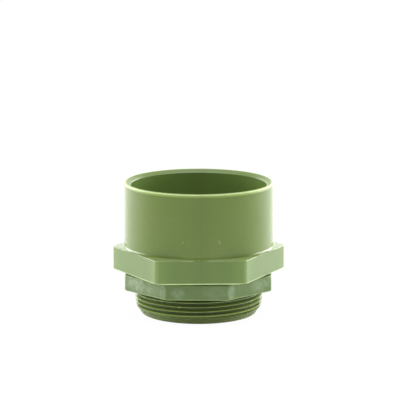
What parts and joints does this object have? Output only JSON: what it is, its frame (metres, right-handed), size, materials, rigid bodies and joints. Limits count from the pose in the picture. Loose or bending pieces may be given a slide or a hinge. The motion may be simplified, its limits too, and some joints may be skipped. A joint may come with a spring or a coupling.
{
  "type": "pvc conduit connector",
  "caption": "Moulded plastic conduit connector with a plain socket, a hexagonal flange, a threaded spigot and an octagonal locknut.",
  "frame": {"origin": "centre of the spigot's end face, the bottom of the part as it stands", "axes": "+Z along the bore, from the spigot up to the conduit socket's mouth; -Y is the normal of one flat of the hexagonal flange"},
  "size_m": [0.0804, 0.07, 0.0618],
  "materials": {
    "body_plastic": "satin moulded green",
    "nut_plastic": "satin moulded green"
  },
  "bodies": {
    "connector": {"connector_body": "body_plastic"},
    "nut": {"locknut": "nut_plastic"}
  },
  "joints": [
    {"name": "locknut_travel", "type": "slide", "parent": "connector", "child": "nut", "axis": [0, 0, 1], "range_m": [-0.0084, 0]}
  ]
}
